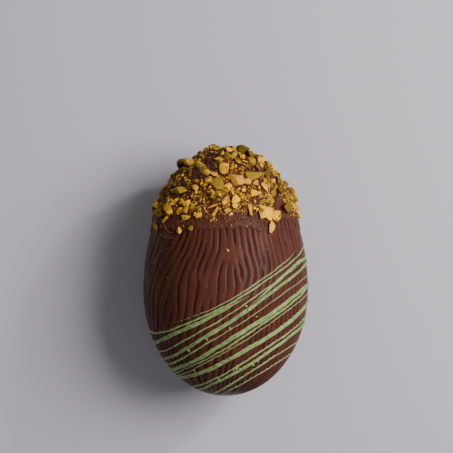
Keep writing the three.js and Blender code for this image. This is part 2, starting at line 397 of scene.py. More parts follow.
# %% [markdown]
# ## Chopped pistachios
#
# A kernel that is chopped falls into chunks with flat cut faces and a rest of its round outside. So each
# model chunk starts as a sphere squashed to a kernel, which bisect cuts several times, filling each cut.
# A few dozen chunks are enough. Their copies, each turned, stretched and placed in its own way, are joined
# into one mesh for each size, which is far lighter than thousands of objects.

# %% Model the chunks
KERNEL = (1.0, 0.75, 0.6)
CUT_DEPTHS = (0.24, 0.66)
SHARP_EDGE = 0.6
SKIN_FROM = 0.88


def add_chunk(seed, segments, rings, cuts, bevel=0.0):
    """One chunk as arrays: its points, its triangles, and which of them are the kernel's outside."""
    random = np.random.default_rng(seed)
    bpy.ops.mesh.primitive_uv_sphere_add(segments=segments, ring_count=rings, radius=1)
    chunk = bpy.context.object
    bpy.ops.object.mode_set(mode="EDIT")
    bpy.ops.transform.resize(value=KERNEL)
    for _ in range(cuts):
        normal = Vector(random.normal(size=3)).normalized()
        reach = Vector(n * k for n, k in zip(normal, KERNEL)).length
        depth = random.uniform(*CUT_DEPTHS) * reach
        bpy.ops.mesh.select_all(action="SELECT")
        bpy.ops.mesh.bisect(plane_co=normal * depth, plane_no=normal, use_fill=True, clear_outer=True)
    if bevel:
        bpy.ops.mesh.select_all(action="SELECT")
        bpy.ops.mesh.remove_doubles(threshold=1.5 * bevel)
        bpy.ops.mesh.select_all(action="DESELECT")
        bpy.ops.mesh.select_mode(type="EDGE")
        bpy.ops.mesh.edges_select_sharp(sharpness=SHARP_EDGE)
        bpy.ops.mesh.bevel(offset=bevel, segments=1, affect="EDGES", clamp_overlap=True)
        bpy.ops.mesh.select_mode(type="VERT")
    bpy.ops.mesh.select_all(action="SELECT")
    bpy.ops.mesh.normals_make_consistent(inside=False)
    bpy.ops.mesh.quads_convert_to_tris()
    bpy.ops.object.mode_set(mode="OBJECT")
    points = read_points(chunk)
    triangles = np.array([face.vertices[:] for face in chunk.data.polygons])
    middles = points[triangles].mean(axis=1)
    skin = ((middles / KERNEL) ** 2).sum(axis=1) > SKIN_FROM
    bpy.ops.object.delete()
    low, high = points.min(axis=0), points.max(axis=0)
    points = (points - (low + high) / 2) / (high - low).max()
    order = np.argsort(low - high)
    mirrored = np.linalg.det(np.eye(3)[order]) < 0
    return points[:, order] * (-1 if mirrored else 1), triangles, skin


FINE_CHUNKS = (0, 1, 3, 5, 7, 9, 10, 14, 15, 17, 18, 19, 24, 25, 28, 29, 34, 35, 37, 38)
PLAIN_CHUNKS = 14
GRAINS = 6

fine_chunks = [add_chunk(100 + i, segments=16, rings=10, cuts=6 + i % 4, bevel=0.025) for i in FINE_CHUNKS]
plain_chunks = [add_chunk(200 + i, segments=8, rings=6, cuts=4 + i % 4) for i in range(PLAIN_CHUNKS)]
grains = [add_chunk(300 + i, segments=4, rings=3, cuts=i % 3) for i in range(GRAINS)]
for name, models in (("fine", fine_chunks), ("plain", plain_chunks), ("grain", grains)):
    print(name, "chunks have", [len(triangles) for _, triangles, _ in models], "triangles")

# %% [markdown]
# ## Scattering the nuts
#
# What falls on the egg comes to rest on whatever is already there. So a ray is sent down at each place,
# and the piece lies where it hits the coat or an earlier nut. The biggest nuts have chosen places, the
# others come from seeded random draws, and each size leaves room for the bigger ones before it.

# %% Helpers that land and join pieces
RAYS_START = 20 * MM
FLAT_ANGLE = math.radians(32)


def landing(pieces, around, along):
    """Height over the smooth egg of the first thing that a ray hits on its way in."""
    start = on_egg(around, along, RAYS_START)
    inward = -outward(around, along)
    heights = np.full(len(around), -np.inf)
    for piece in pieces:
        for i, (origin, direction) in enumerate(zip(start, inward)):
            hit, place, _, _ = piece.ray_cast(Vector(origin), Vector(direction))
            if hit:
                heights[i] = max(heights[i], RAYS_START - (place - Vector(origin)).length)
    return heights


def lie_on_egg(around, along, turn, tilt):
    """For each place, three axes: two lie on the egg, turned and tilted as told, and the third points out."""
    normal = outward(around, along)
    right = np.stack([np.cos(around), 0 * around, -np.sin(around)], -1)
    ahead = np.cross(normal, right)
    up = normal + tilt[:, :1] * right + tilt[:, 1:] * ahead
    up /= np.linalg.norm(up, axis=1, keepdims=True)
    first = np.cos(turn)[:, None] * right + np.sin(turn)[:, None] * ahead
    first -= (first * up).sum(axis=1, keepdims=True) * up
    first /= np.linalg.norm(first, axis=1, keepdims=True)
    return np.stack([first, np.cross(up, first), up], axis=2)


def add_piece(name, points, faces):
    """An object made of the given points and faces, which alone is then selected."""
    mesh = bpy.data.meshes.new(name)
    mesh.from_pydata(points, [], faces)
    piece = bpy.data.objects.new(name, mesh)
    bpy.context.collection.objects.link(piece)
    bpy.ops.object.select_all(action="DESELECT")
    bpy.context.view_layer.objects.active = piece
    piece.select_set(True)
    return piece


def join_copies(name, models, which, centres, axes, sizes, tints):
    """One mesh of many copies of the models, with each copy's tint, and the kernel's outside."""
    all_points, all_triangles, all_tints, all_skins = [], [], [], []
    first = 0
    for k, (points, triangles, skin) in enumerate(models):
        chosen = np.flatnonzero(which == k)
        stretched = points[None] * sizes[chosen][:, None]
        placed = centres[chosen][:, None] + np.einsum("nij,npj->npi", axes[chosen], stretched)
        starts = first + len(points) * np.arange(len(chosen))
        all_points.append(placed.reshape(-1, 3))
        all_triangles.append((triangles[None] + starts[:, None, None]).reshape(-1, 3))
        all_tints.append(np.repeat(tints[chosen], len(points)))
        all_skins.append(np.tile(skin, len(chosen)))
        first += len(points) * len(chosen)
    piece = add_piece(name, np.concatenate(all_points), np.concatenate(all_triangles))
    set_attribute(piece, "tint", np.concatenate(all_tints))
    set_attribute(piece, "skin", np.concatenate(all_skins), "FACE")
    bpy.ops.object.shade_smooth_by_angle(angle=FLAT_ANGLE)
    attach(piece, "root")
    print(name, "has", len(centres), "pieces and", len(piece.data.polygons), "triangles")
    return piece


def lay(name, models, around, along, sizes, tints, under, seat, tilt, seed, turn=None, which=None):
    """Lays pieces on the egg at the given places, seated by a share of their height, and joins them."""
    random = np.random.default_rng(seed)
    count = len(around)
    turn = random.uniform(0, 2 * math.pi, count) if turn is None else turn
    which = np.arange(count) % len(models) if which is None else which
    heights = landing(under, around, along)
    found = np.isfinite(heights)
    axes = lie_on_egg(around, along, turn, random.normal(0, tilt, (count, 2)))
    centres = on_egg(around, along, heights + seat * sizes[:, 2])
    return join_copies(name, models, which[found], centres[found], axes[found], sizes[found], tints[found])


# %% The biggest nuts, each at a chosen place
# Degrees from the top, mm along the egg, mm long and wide, turn in degrees, tint from olive to cream, and
# the number of the fine chunk. The tints follow how the pieces looked where they lie, so they carry painted
# shade: those near the rims, far right and far left, are darker by the shade that fell on them. Some others
# on the left are lighter by painted light that makes up for the dimmer light there.
SLABS = (
    (-1.9, 79.8, 11.3, 7.8, 87, 1.00, 29), (11.0, 72.5, 11.9, 8.0, -65, 0.74, 24),
    (29.8, 75.1, 14.9, 10.0, -16, 0.43, 3), (-7.9, 69.1, 10.0, 9.2, -65, 0.44, 7),
    (-29.5, 80.1, 18.7, 6.4, -36, 0.62, 17), (-14.4, 77.3, 8.3, 5.1, -46, 0.76, 28),
    (1.9, 68.2, 5.6, 4.8, 74, 0.84, 5), (25.7, 63.7, 8.6, 7.6, -33, 0.86, 3),
    (38.1, 67.9, 7.6, 4.6, 86, 0.84, 28), (29.3, 70.1, 5.1, 4.2, 8, 0.74, 15),
    (21.3, 71.0, 5.8, 3.7, 23, 0.78, 25), (7.9, 59.2, 7.1, 5.5, 42, 0.96, 15),
    (19.8, 62.4, 3.4, 2.9, 41, 0.97, 10), (16.5, 66.1, 3.5, 2.4, 40, 0.92, 14),
    (39.0, 84.8, 9.9, 6.7, 40, 0.55, 35), (19.2, 85.1, 8.2, 5.8, 76, 0.66, 38),
    (29.8, 84.5, 5.4, 3.0, -42, 0.70, 28), (43.0, 80.7, 7.2, 3.9, 67, 0.62, 17),
    (16.7, 89.0, 8.4, 5.4, 62, 0.62, 0), (3.2, 88.7, 6.9, 4.7, 86, 0.46, 10),
    (-22.0, 90.2, 6.9, 4.7, -68, 0.42, 18), (-27.8, 56.6, 4.0, 2.4, -17, 0.58, 14),
    (-32.0, 53.7, 6.1, 4.3, -75, 0.86, 25), (-28.4, 67.7, 5.4, 4.3, -38, 0.70, 34),
    (-10.1, 56.2, 8.2, 2.6, 24, 0.74, 28), (-8.2, 52.6, 7.2, 3.4, 70, 0.80, 19),
    (19.7, 52.9, 8.6, 3.6, -79, 0.72, 19), (31.1, 58.1, 6.7, 3.8, 19, 0.42, 18),
    (32.4, 52.4, 9.7, 8.0, 15, 0.93, 5), (42.4, 49.9, 10.5, 6.3, 41, 0.86, 34),
    (35.8, 48.1, 5.9, 3.9, -17, 0.95, 15), (36.0, 42.6, 9.7, 5.0, 61, 0.84, 15),
    (-47.1, 66.1, 13.8, 7.0, -6, 0.60, 18), (-34.7, 58.3, 7.4, 6.5, -11, 0.84, 9),
    (-50.6, 54.2, 9.4, 6.2, -21, 0.97, 25), (-38.7, 52.9, 6.7, 5.5, -11, 0.76, 38),
    (-32.0, 48.4, 8.0, 4.5, -6, 0.66, 3), (-54.5, 47.9, 6.2, 4.5, 50, 1.00, 28),
    (-36.9, 39.9, 5.5, 4.1, -65, 0.82, 3), (-66.3, 69.3, 8.9, 6.0, -14, 0.50, 37),
    (-87.0, 83.2, 16.0, 8.0, -2, 0.12, 35), (-43.1, 77.7, 9.9, 3.4, -61, 0.44, 17),
    (57.5, 54.7, 12.3, 7.3, 14, 0.22, 14), (56.4, 92.4, 12.8, 8.4, 33, 0.12, 0),
    (54.8, 89.5, 9.9, 6.5, 35, 0.20, 37), (56.0, 78.3, 8.9, 6.0, 23, 0.16, 1),
    (63.5, 71.9, 8.9, 6.0, 15, 0.14, 37), (-66.6, 51.7, 11.8, 7.9, -10, 0.34, 35),
    (-67.0, 42.6, 10.8, 6.9, -22, 0.36, 17), (4.4, 50.8, 2.4, 1.7, 45, 1.00, 14),
    (1.6, 27.6, 2.4, 1.2, -71, 0.92, 28), (80.0, 93.2, 9.5, 6.5, 90, 0.14, 37),
)
BACK_SLABS = 46
BACK_REACH = 1.75
SLAB_WIDER = 1.2
SLAB_HEIGHT = 0.95

slab_table = np.array(SLABS)
random = np.random.default_rng(40)
back_around = math.pi + random.uniform(-BACK_REACH, BACK_REACH, BACK_SLABS)
back_along = NARROW_END * (1 - 0.5 * random.random(BACK_SLABS) ** 0.8)
back_length = random.uniform(4.5, 9.5, BACK_SLABS)
slab_around = np.concatenate([np.radians(slab_table[:, 0]), back_around])
slab_along = np.concatenate([slab_table[:, 1] * MM, back_along])
slab_length = np.concatenate([slab_table[:, 2], back_length]) * MM
slab_width = np.concatenate([slab_table[:, 3], back_length * random.uniform(0.5, 0.9, BACK_SLABS)]) * MM
slab_turn = np.concatenate([np.radians(slab_table[:, 4]), random.uniform(0, math.pi, BACK_SLABS)])
slab_tint = np.concatenate([slab_table[:, 5], random.uniform(0.2, 0.95, BACK_SLABS)])
slab_sizes = np.stack([slab_length, SLAB_WIDER * slab_width, SLAB_HEIGHT * slab_width], -1)
slab_chunk = np.concatenate([[FINE_CHUNKS.index(row[6]) for row in SLABS],
                             random.integers(0, len(FINE_CHUNKS), BACK_SLABS)])
slabs = lay("nut_slabs", fine_chunks, slab_around, slab_along, slab_sizes, slab_tint,
            under=[coat, shell], seat=0.2, tilt=0.15, seed=41, turn=slab_turn, which=slab_chunk)

# %% How places, sizes and tints are drawn
FLOOR_CLEAR = 1.0 * MM
EDGE_CLEAR = 1.0 * MM
FEW_AT_EDGE = 0.06
PATCHES_AROUND = 14
PATCH_LENGTH = 22 * MM
GATHERED = (0.0, 65 * MM)
GATHERED_REACH = 16 * MM


def draw_places(count, seed, lowest, power, keep_off, gathered=0.0):
    """Random places on the coat, in patches, clear of the floor and of bigger nuts, few near the edge."""
    random = np.random.default_rng(seed)
    around = random.uniform(-math.pi, math.pi, count)
    spread = random.random(count) ** power
    along = NARROW_END - spread * (NARROW_END - coat_edge(around) - EDGE_CLEAR)
    patch = random_waves(seed + 1, PATCHES_AROUND, PATCH_LENGTH)(around, along)
    from_edge = along - coat_edge(around)
    inside = smoothstep(from_edge + 2 * MM * patch, lowest - 2 * MM, lowest + 4 * MM)
    dense = FEW_AT_EDGE + (1 - FEW_AT_EDGE) * inside
    dense *= 0.72 + 0.3 * patch + gathered * (near(around, along, GATHERED, GATHERED_REACH) - 0.2)
    kept = random.random(count) < dense * (0.25 + radius_at(along) / HALF_WIDTH)
    kept &= on_egg(around, along)[:, 2] > FLOOR_CLEAR
    for other_around, other_along, reach in keep_off:
        turn = np.angle(np.exp(1j * (around[:, None] - other_around[None])))
        away = np.hypot(turn * radius_at(along)[:, None], along[:, None] - other_along[None])
        kept &= (away > reach[None]).all(axis=1)
    return around[kept], along[kept]


def draw_sizes(count, seed, small, large, skew, width=(0.75, 1.25), height=(0.7, 1.2)):
    """Random lengths, widths and heights, with more small ones the higher the skew."""
    random = np.random.default_rng(seed)
    lengths = small + (large - small) * random.random(count) ** skew
    widths = lengths * random.uniform(*width, count)
    heights = lengths * random.uniform(*height, count)
    return np.stack([lengths, widths, heights], -1)


def draw_tints(count, seed, low=0.0, high=1.0):
    """Random tints from olive to cream."""
    return np.random.default_rng(seed).uniform(low, high, count)


# %% Chips, crumbs and dust
OFF_CURL = 8 * MM
OFF_SLABS = 0.42

off_curl = (np.array([SWIRL[0]]), np.array([SWIRL[1]]), np.array([OFF_CURL]))
off_both = [(slab_around, slab_along, OFF_SLABS * slab_length), off_curl]

around, along = draw_places(950, seed=50, lowest=11 * MM, power=0.95, keep_off=off_both)
sizes = draw_sizes(len(around), seed=51, small=2.6 * MM, large=6.6 * MM, skew=1.5)
tints = draw_tints(len(around), seed=52)
chips = lay("nut_chips", plain_chunks, around, along, sizes, tints,
            under=[coat, shell], seat=0.2, tilt=0.4, seed=53)

around, along = draw_places(3400, seed=60, lowest=10.5 * MM, power=0.85, keep_off=off_both, gathered=0.5)
sizes = draw_sizes(len(around), seed=61, small=1.1 * MM, large=2.8 * MM, skew=2)
tints = draw_tints(len(around), seed=62, low=0.1)
crumbs = lay("nut_crumbs", plain_chunks[::2], around, along, sizes, tints,
             under=[coat, chips, slabs], seat=0.1, tilt=0.5, seed=63)

around, along = draw_places(14000, seed=70, lowest=9 * MM, power=0.8, keep_off=off_both, gathered=1.1)
sizes = draw_sizes(len(around), 71, 0.5 * MM, 1.6 * MM, skew=1.8, width=(0.4, 0.9), height=(0.4, 0.8))
tints = draw_tints(len(around), seed=72, low=0.5, high=1.1)
dust = lay("nut_dust", grains, around, along, sizes, tints,
           under=[coat, chips], seat=0.1, tilt=0.5, seed=73)

# %% Crumbs of chocolate that make the coat grainy
around, along = draw_places(9000, seed=64, lowest=1 * MM, power=1.1, keep_off=[off_curl])
sizes = draw_sizes(len(around), seed=65, small=0.6 * MM, large=2.0 * MM, skew=2)
grit = lay("chocolate_grit", grains, around, along, sizes, np.zeros(len(around)),
           under=[coat, shell], seat=-0.12, tilt=0.5, seed=66)

# %% Specks that fell on the bare shell
SPECKS = 420
SPECKS_AROUND = (-2.2, 2.2)
SPECKS_ALONG = (-60, 40)

random = np.random.default_rng(80)
around = random.uniform(*SPECKS_AROUND, SPECKS)
along = random.uniform(*SPECKS_ALONG, SPECKS) * MM
sizes = draw_sizes(SPECKS, seed=81, small=0.22 * MM, large=0.85 * MM, skew=3.5)
specks = lay("pale_specks", grains, around, along, sizes, np.zeros(SPECKS),
             under=[shell], seat=0.1, tilt=0.4, seed=83)

# %% [markdown]
# ## The green drizzle
#
# Each line of green chocolate fell from a spoon that was swung over the egg, so it lies in one plane. Where
# that plane cuts the egg is found for many directions, and a flat ribbon is laid along the cut, soft at
# its edges and uneven in width. A thick line is two strands side by side, with slits between them, and a
# very thin one is broken. A curve object with a bevel could make such a line too, but its section would
# stay the same, and its edges would not sink into the grooves.

# %% The lines
# Where the plane meets the egg's top in mm, its slope across and its lean, then the directions in degrees
# between which the line lies, from the right over the top to the left, and its widths in mm at the stations.
LINES = (
    (-6.2, 0.538, 0.273, 25, 140, (0.4, 0.5, 0.9, 1.1, 0.9)),
    (-8.6, 0.553, 0.187, -12, 204, (1.4, 1.5, 1.3, 1.2, 1.1)),
    (-10.7, 0.524, 0.016, 68, 208, (2.4, 2.6, 1.8, 0.5, 0.5)),
    (-24.7, 0.985, -0.143, -18, 68, (1.0, 1.0, 1.4, 1.8, 2.3)),
    (-15.8, 0.647, 0.077, -8, 204, (1.0, 1.3, 1.0, 1.0, 0.6)),
    (-21.2, 0.668, 0.065, -24, 210, (1.9, 2.3, 2.6, 2.2, 1.8)),
    (-26.5, 0.643, 0.039, -6, 206, (1.6, 1.3, 0.8, 0.7, 0.7)),
    (-33.5, 0.632, 0.055, -26, 212, (2.3, 2.4, 2.7, 2.9, 2.4)),
    (-37.5, 0.640, 0.089, -14, 204, (1.0, 0.9, 1.3, 1.5, 1.5)),
    (-40.1, 0.630, 0.077, -4, 198, (0.9, 0.9, 0.8, 0.6, 0.6)),
    (-47.7, 0.572, 0.144, -22, 208, (2.0, 2.8, 2.8, 3.0, 3.0)),
    (-55.3, 0.620, 0.074, -16, 202, (1.4, 1.4, 1.4, 1.4, 1.3)),
    (-59.3, 0.621, 0.079, -24, 206, (1.8, 1.8, 2.0, 2.4, 2.1)),
    (-62.8, 0.627, -0.045, -10, 202, (1.5, 1.5, 1.7, 1.3, 0.8)),
    (-68.0, 0.576, 0.0, -12, 198, (0.7, 0.7, 0.8, 0.7, 0.6)),
)
STATIONS = np.array((-40, -20, 0, 20, 40)) * MM
CUT_RAYS = 900
HALVINGS = 40
LINE_STEP = 0.6 * MM
LINE_SUNK = 0.9 * MM
LINE_SECTION = ((-1, -1), (-1, -0.35), (-0.86, 0.35), (-0.55, 0.86), (0, 1), (0.55, 0.86), (0.86, 0.35),
                (1, -0.35), (1, -1))


def cut_egg(at, slope, lean, first_direction, last_direction):
    """Places along the line in which a leaning plane cuts the egg, over its shown side."""
    start = np.array([0, at + lean * HALF_WIDTH, 0])
    right = np.array([1, slope, 0]) / math.hypot(1, slope)
    up = np.array([0, -lean, 1]) / math.hypot(1, lean)
    direction = np.radians(np.linspace(first_direction, last_direction, CUT_RAYS))
    rays = np.cos(direction)[:, None] * right + np.sin(direction)[:, None] * up
    low, high = np.zeros(len(rays)), np.full(len(rays), 2 * NARROW_END)
    for _ in range(HALVINGS):
        middle = (low + high) / 2
        x, y, z = (start + middle[:, None] * rays).T
        inside = x**2 + z**2 < HALF_WIDTH**2 * (1 - (y / half_length(y)) ** 2)
        low, high = np.where(inside, middle, low), np.where(inside, high, middle)
    x, y, z = (start + low[:, None] * rays).T
    parts = np.linalg.norm(np.diff(np.stack([x, y, z], 1), axis=0), axis=1)
    length = np.concatenate([[0], np.cumsum(parts)])
    steps = np.linspace(0, length[-1], int(length[-1] / LINE_STEP))
    x, y, z = (np.interp(steps, length, values) for values in (x, y, z))
    return np.arctan2(x, z), y, steps


def line_ring(around, along, width, top, aside=0.0, base=0.0):
    """The points of a ribbon's section at each place along a line, moved aside and up by distances."""
    middle = on_egg(around, along)
    forward = np.gradient(middle, axis=0)
    normal = outward(around, along)
    side = np.cross(forward, normal)
    side /= np.linalg.norm(side, axis=1, keepdims=True)
    rings = []
    for across, height in LINE_SECTION:
        lift = base + np.where(height > 0, height * top, height * LINE_SUNK)
        rings.append(middle + (aside + across * width / 2)[:, None] * side + lift[:, None] * normal)
    return np.stack(rings, 1)


def sum_of_sines(random, steps, parts):
    """An uneven run along a line, from sines of the given heights and wavelengths in mm."""
    return sum(height * np.sin(2 * math.pi * steps / (wavelength * MM) + random.uniform(0, 6.3))
               for height, wavelength in parts)


def ribbon_faces(count, first):
    """Quads round and along a closed ribbon, and a face at each end."""
    sides = len(LINE_SECTION)
    faces = []
    for i in range(count - 1):
        for j in range(sides):
            a, b = first + i * sides + j, first + i * sides + (j + 1) % sides
            faces.append((a, b, b + sides, a + sides))
    faces.append(tuple(first + j for j in reversed(range(sides))))
    faces.append(tuple(first + (count - 1) * sides + j for j in range(sides)))
    return faces


# %% Lay the ribbons
TWO_STRANDS_FROM = 2.4 * MM
STRAND_WIDTH = 0.56
STRAND_ASIDE = 0.25
LINE_TOP = 0.55 * MM
LINE_TAPER = (-4 * MM, 26 * MM)
THIN_BELOW = 1.6
BREAKS_BELOW = 0.75 * MM
BREAK_DEPTH = 0.9 * MM
# Uneven runs along a line: the height of each wave, and its length in mm.
DRIFT = ((0.30, 60), (0.10, 17))
STRAY = ((0.10, 23), (0.07, 6))
SWAY = ((0.12, 31), (0.10, 13), (0.08, 5.0), (0.05, 2.3))
BREAKS = ((0.5, 7), (0.5, 3.1))


def join_ribbons(name, rings, thin):
    """One mesh of many ribbons, with how thin each of their sections is, for the material."""
    points, faces = [], []
    for ring in rings:
        faces += ribbon_faces(len(ring), sum(len(part) for part in points))
        points.append(ring.reshape(-1, 3))
    piece = add_piece(name, np.concatenate(points), faces)
    set_attribute(piece, "thin", np.repeat(np.concatenate(thin), len(LINE_SECTION)))
    move_points(piece, read_points(piece))
    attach(piece, "root")
    print(name, "has", len(rings), "ribbons and", len(faces), "faces")
    return piece


rings, thin = [], []
for index, (at, slope, lean, first_direction, last_direction, station_widths) in enumerate(LINES):
    around, along, steps = cut_egg(at * MM, slope, lean, first_direction, last_direction)
    random = np.random.default_rng(500 + index)
    full = np.interp(radius_at(along) * np.sin(around), STATIONS, station_widths) * MM
    in_groove = bark(around, along)[0] * relief_strength(around, along)
    end = smoothstep(np.minimum(steps, steps[-1] - steps), *LINE_TAPER)
    drift = sum_of_sines(random, steps, DRIFT) * MM
    very_thin = smoothstep(BREAKS_BELOW - full, 0, 0.35 * MM)
    two = max(station_widths) * MM >= TWO_STRANDS_FROM
    for side in (-1, 1) if two else (0,):
        sway = sum_of_sines(random, steps, SWAY)
        stray = sum_of_sines(random, steps, STRAY) * MM
        widths = full * (STRAND_WIDTH if two else 1.0) * (1 + sway - 0.12 * in_groove) * end
        broken = smoothstep(sum_of_sines(random, steps, BREAKS) * very_thin, 0.15, 0.5)
        lift = 1 - 0.35 * in_groove + 0.4 * sway
        tops = LINE_TOP * (0.75 + 0.1 * full / MM) * lift * end - BREAK_DEPTH * broken
        rings.append(line_ring(around, along + drift + stray, widths, tops, side * STRAND_ASIDE * full))
        thin.append(np.clip(THIN_BELOW - full / MM, 0, 1))
drizzle = join_ribbons("green_drizzle", rings, thin)

# %% Drops and flakes of green chocolate
# Degrees from the top, mm along the egg, and mm long, wide and thick.
FLAKES = (
    (-31, -39, 2.2, 1.9, 1.2), (3, -24, 3.0, 2.6, 1.2), (16, -11, 3.2, 2.2, 1.3), (14, -9, 1.8, 1.2, 1.0),
    (10, -50, 3.6, 1.6, 0.8), (13, -51, 2.6, 1.2, 0.9), (17, -50, 3.0, 1.4, 0.7), (21, -49, 2.8, 1.2, 0.8),
    (25, -48, 3.4, 1.3, 0.7), (29, -46, 2.4, 1.4, 0.8), (8, -52, 2.2, 1.2, 0.8), (-8, -58, 2.0, 1.6, 0.9),
    (-33, -53, 2.4, 2.0, 1.0), (22, -16, 1.6, 1.2, 0.8), (-14, -31, 1.5, 1.2, 0.8), (34, -30, 1.6, 1.3, 0.8),
)
FLAKE_STRETCH = (1, 1.3, 1.6)

flake_table = np.array(FLAKES)
flake_sizes = flake_table[:, 2:] * FLAKE_STRETCH * MM
flakes = lay("green_flakes", fine_chunks, np.radians(flake_table[:, 0]), flake_table[:, 1] * MM, flake_sizes,
             np.zeros(len(FLAKES)), under=[drizzle, shell], seat=0.15, tilt=0.3, seed=90)

# %% [markdown]
# ## The chocolate curl
#
# At the left of the coat's edge a few fine strands of chocolate curl round one spot, each an arc a little
# further out than the last. Bevelled curves could draw them, but the drizzle's ribbon is there already.

# %% Lay the curl's strands
CURL_ARCS = 6
CURL_REACH = 3.8 * MM
CURL_STEP = 1.5 * MM
CURL_FARTHER = 1.5 * MM
CURL_FLATTER = 0.55
CURL_WIDER = 1.2
CURL_STRAND_WIDTH = 0.7 * MM
CURL_STRAND_TOP = 1.0 * MM

random = np.random.default_rng(95)
rings, thin = [], []
for i in range(CURL_ARCS):
    begin = random.uniform(2.7, 3.3)
    turn = np.linspace(begin, begin + random.uniform(1.4, 2.1), 60)
    reach = (CURL_REACH + i * CURL_STEP) * (1 + 0.07 * np.sin(2 * turn + random.uniform(0, 6.3)))
    along = SWIRL[1] + (CURL_FARTHER + CURL_FLATTER * reach) * np.sin(turn)
    around = SWIRL[0] + CURL_WIDER * reach * np.cos(turn) / radius_at(along)
    height = landing([coat, shell], around, along)
    taper = np.sin(np.linspace(0.1, math.pi - 0.1, len(turn))) ** 0.5
    rings.append(line_ring(around, along, CURL_STRAND_WIDTH * taper, CURL_STRAND_TOP * taper, base=height))
    thin.append(np.zeros(len(turn)))
curl = join_ribbons("chocolate_curl", rings, thin)

# %% [markdown]
# ## Materials
#
# Shader maths reads best as sums, so a small class wraps a socket and lets Python's operators add the
# Math nodes. Every other node comes from one method that takes the node's type and its inputs.

# %% A small language for shader nodes


class Socket:
    """An output of a shader node, which can be used in sums."""

    def __init__(self, tree, link):
        self.tree = tree
        self.link = link

    def maths(self, operation, *values):
        """Adds a Math node for the values, and gives its output."""
        node = self.tree.nodes.new("ShaderNodeMath")
        node.operation = operation
        for slot, value in zip(node.inputs, values):
            if isinstance(value, Socket):
                self.tree.links.new(value.link, slot)
            else:
                slot.default_value = value
        return Socket(self.tree, node.outputs[0])

    def __add__(self, other):
        return self.maths("ADD", self, other)

    def __radd__(self, other):
        return self.maths("ADD", other, self)

    def __sub__(self, other):
        return self.maths("SUBTRACT", self, other)

    def __mul__(self, other):
        return self.maths("MULTIPLY", self, other)

    def __rmul__(self, other):
        return self.maths("MULTIPLY", other, self)


class Finish:
    """A material with a Principled shader, and short ways to add nodes in front of it."""

    def __init__(self, name, **constants):
        self.material = bpy.data.materials.new(name)
        self.material.use_nodes = True
        self.tree = self.material.node_tree
        self.shader = self.tree.nodes["Principled BSDF"]
        for socket, value in constants.items():
            self.shader.inputs[socket.replace("_", " ")].default_value = value

    def node(self, kind, settings=None, inputs=None, output=0):
        """Adds a node, sets it up, and gives one of its outputs."""
        node = self.tree.nodes.new(kind)
        for key, value in (settings or {}).items():
            setattr(node, key, value)
        for key, value in (inputs or {}).items():
            if isinstance(value, Socket):
                self.tree.links.new(value.link, node.inputs[key])
            else:
                node.inputs[key].default_value = value
        return Socket(self.tree, node.outputs[output])

    def place(self):
        """The point on the object, in metres."""
        return self.node("ShaderNodeTexCoord", output="Object")

    def attribute(self, name):
        """A number that the mesh keeps at its points or faces."""
        return self.node("ShaderNodeAttribute", {"attribute_name": name}, output="Fac")

    def noise(self, size, detail=3.0, roughness=0.5):
        """Random patches of about the given size in metres, from 0 to 1."""
        inputs = {"Vector": self.place(), "Scale": 1 / size, "Detail": detail, "Roughness": roughness}
        return self.node("ShaderNodeTexNoise", None, inputs, "Fac")

    def rise(self, value, low, high):
        """0 below low and 1 above high, smooth between."""
        inputs = {"Value": value, "From Min": low, "From Max": high}
        return self.node("ShaderNodeMapRange", {"interpolation_type": "SMOOTHSTEP"}, inputs)

    def blend(self, share, first, second):
        """A colour between two colours or colour sockets."""
        inputs = {0: share, 6: first, 7: second}
        return self.node("ShaderNodeMix", {"data_type": "RGBA"}, inputs, 2)

    def ramp(self, value, stops):
        """A colour that runs through the given stops as the value grows from 0 to 1."""
        node = self.tree.nodes.new("ShaderNodeValToRGB")
        elements = node.color_ramp.elements
        elements[0].position, elements[0].color = stops[0]
        elements[1].position, elements[1].color = stops[-1]
        for position, colour in stops[1:-1]:
            elements.new(position).color = colour
        self.tree.links.new(value.link, node.inputs[0])
        return Socket(self.tree, node.outputs[0])

    def feed(self, socket, value):
        """Links a varying value to the shader."""
        self.tree.links.new(value.link, self.shader.inputs[socket])

    def bump(self, height, distance):
        """Small relief from a height between 0 and 1."""
        inputs = {"Height": height, "Distance": distance, "Strength": 1.0}
        self.feed("Normal", self.node("ShaderNodeBump", None, inputs))


# %% [markdown]
# ## The chocolates
#
# Milk chocolate is a warm brown with a soft sheen. The light alone would leave its grooves too pale, so
# the colour also follows the groove numbers that the mesh keeps: it paints shade into the grooves. On the
# coat one noise drives colour, roughness and bump, so that its grains agree in all three. Because the colour
# is darkest where the bump is lowest, it paints shade into the pits as well as giving a tone that varies.

# %% Milk chocolate
CHOCOLATE_LIGHT = (0.0830, 0.0256, 0.0171, 1)
CHOCOLATE_DARK = (0.0670, 0.0198, 0.0126, 1)
# The groove colour is painted shade, which darkens the grooves where shade falls.
CHOCOLATE_GROOVE_SHADE = (0.0310, 0.0088, 0.0056, 1)

chocolate = Finish("milk_chocolate", Specular_IOR_Level=0.045)
patches = chocolate.rise(chocolate.noise(14 * MM), 0.3, 0.7)
mottled = chocolate.blend(patches, CHOCOLATE_DARK, CHOCOLATE_LIGHT)
in_groove = chocolate.rise(chocolate.attribute("groove"), 0.18, 0.9)
# The colour moves towards the groove colour where the groove number is high: painted shade in the grooves.
chocolate.feed("Base Color", chocolate.blend(in_groove, mottled, CHOCOLATE_GROOVE_SHADE))
chocolate.feed("Roughness", 0.16 + 0.12 * chocolate.noise(3 * MM) + 0.25 * in_groove)
chocolate.bump(chocolate.noise(0.7 * MM, 4.0, 0.6), 0.05 * MM)
shell.data.materials.append(chocolate.material)
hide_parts("chocolate_shell")

# %% Rough chocolate
ROUGH_LIGHT = (0.105, 0.0340, 0.0200, 1)
ROUGH_DARK_AND_PIT_SHADE = (0.042, 0.0115, 0.0050, 1)
SHINY_DARK = (0.100, 0.031, 0.020, 1)
SHINY_PAINTED_HIGHLIGHT = (0.230, 0.080, 0.052, 1)

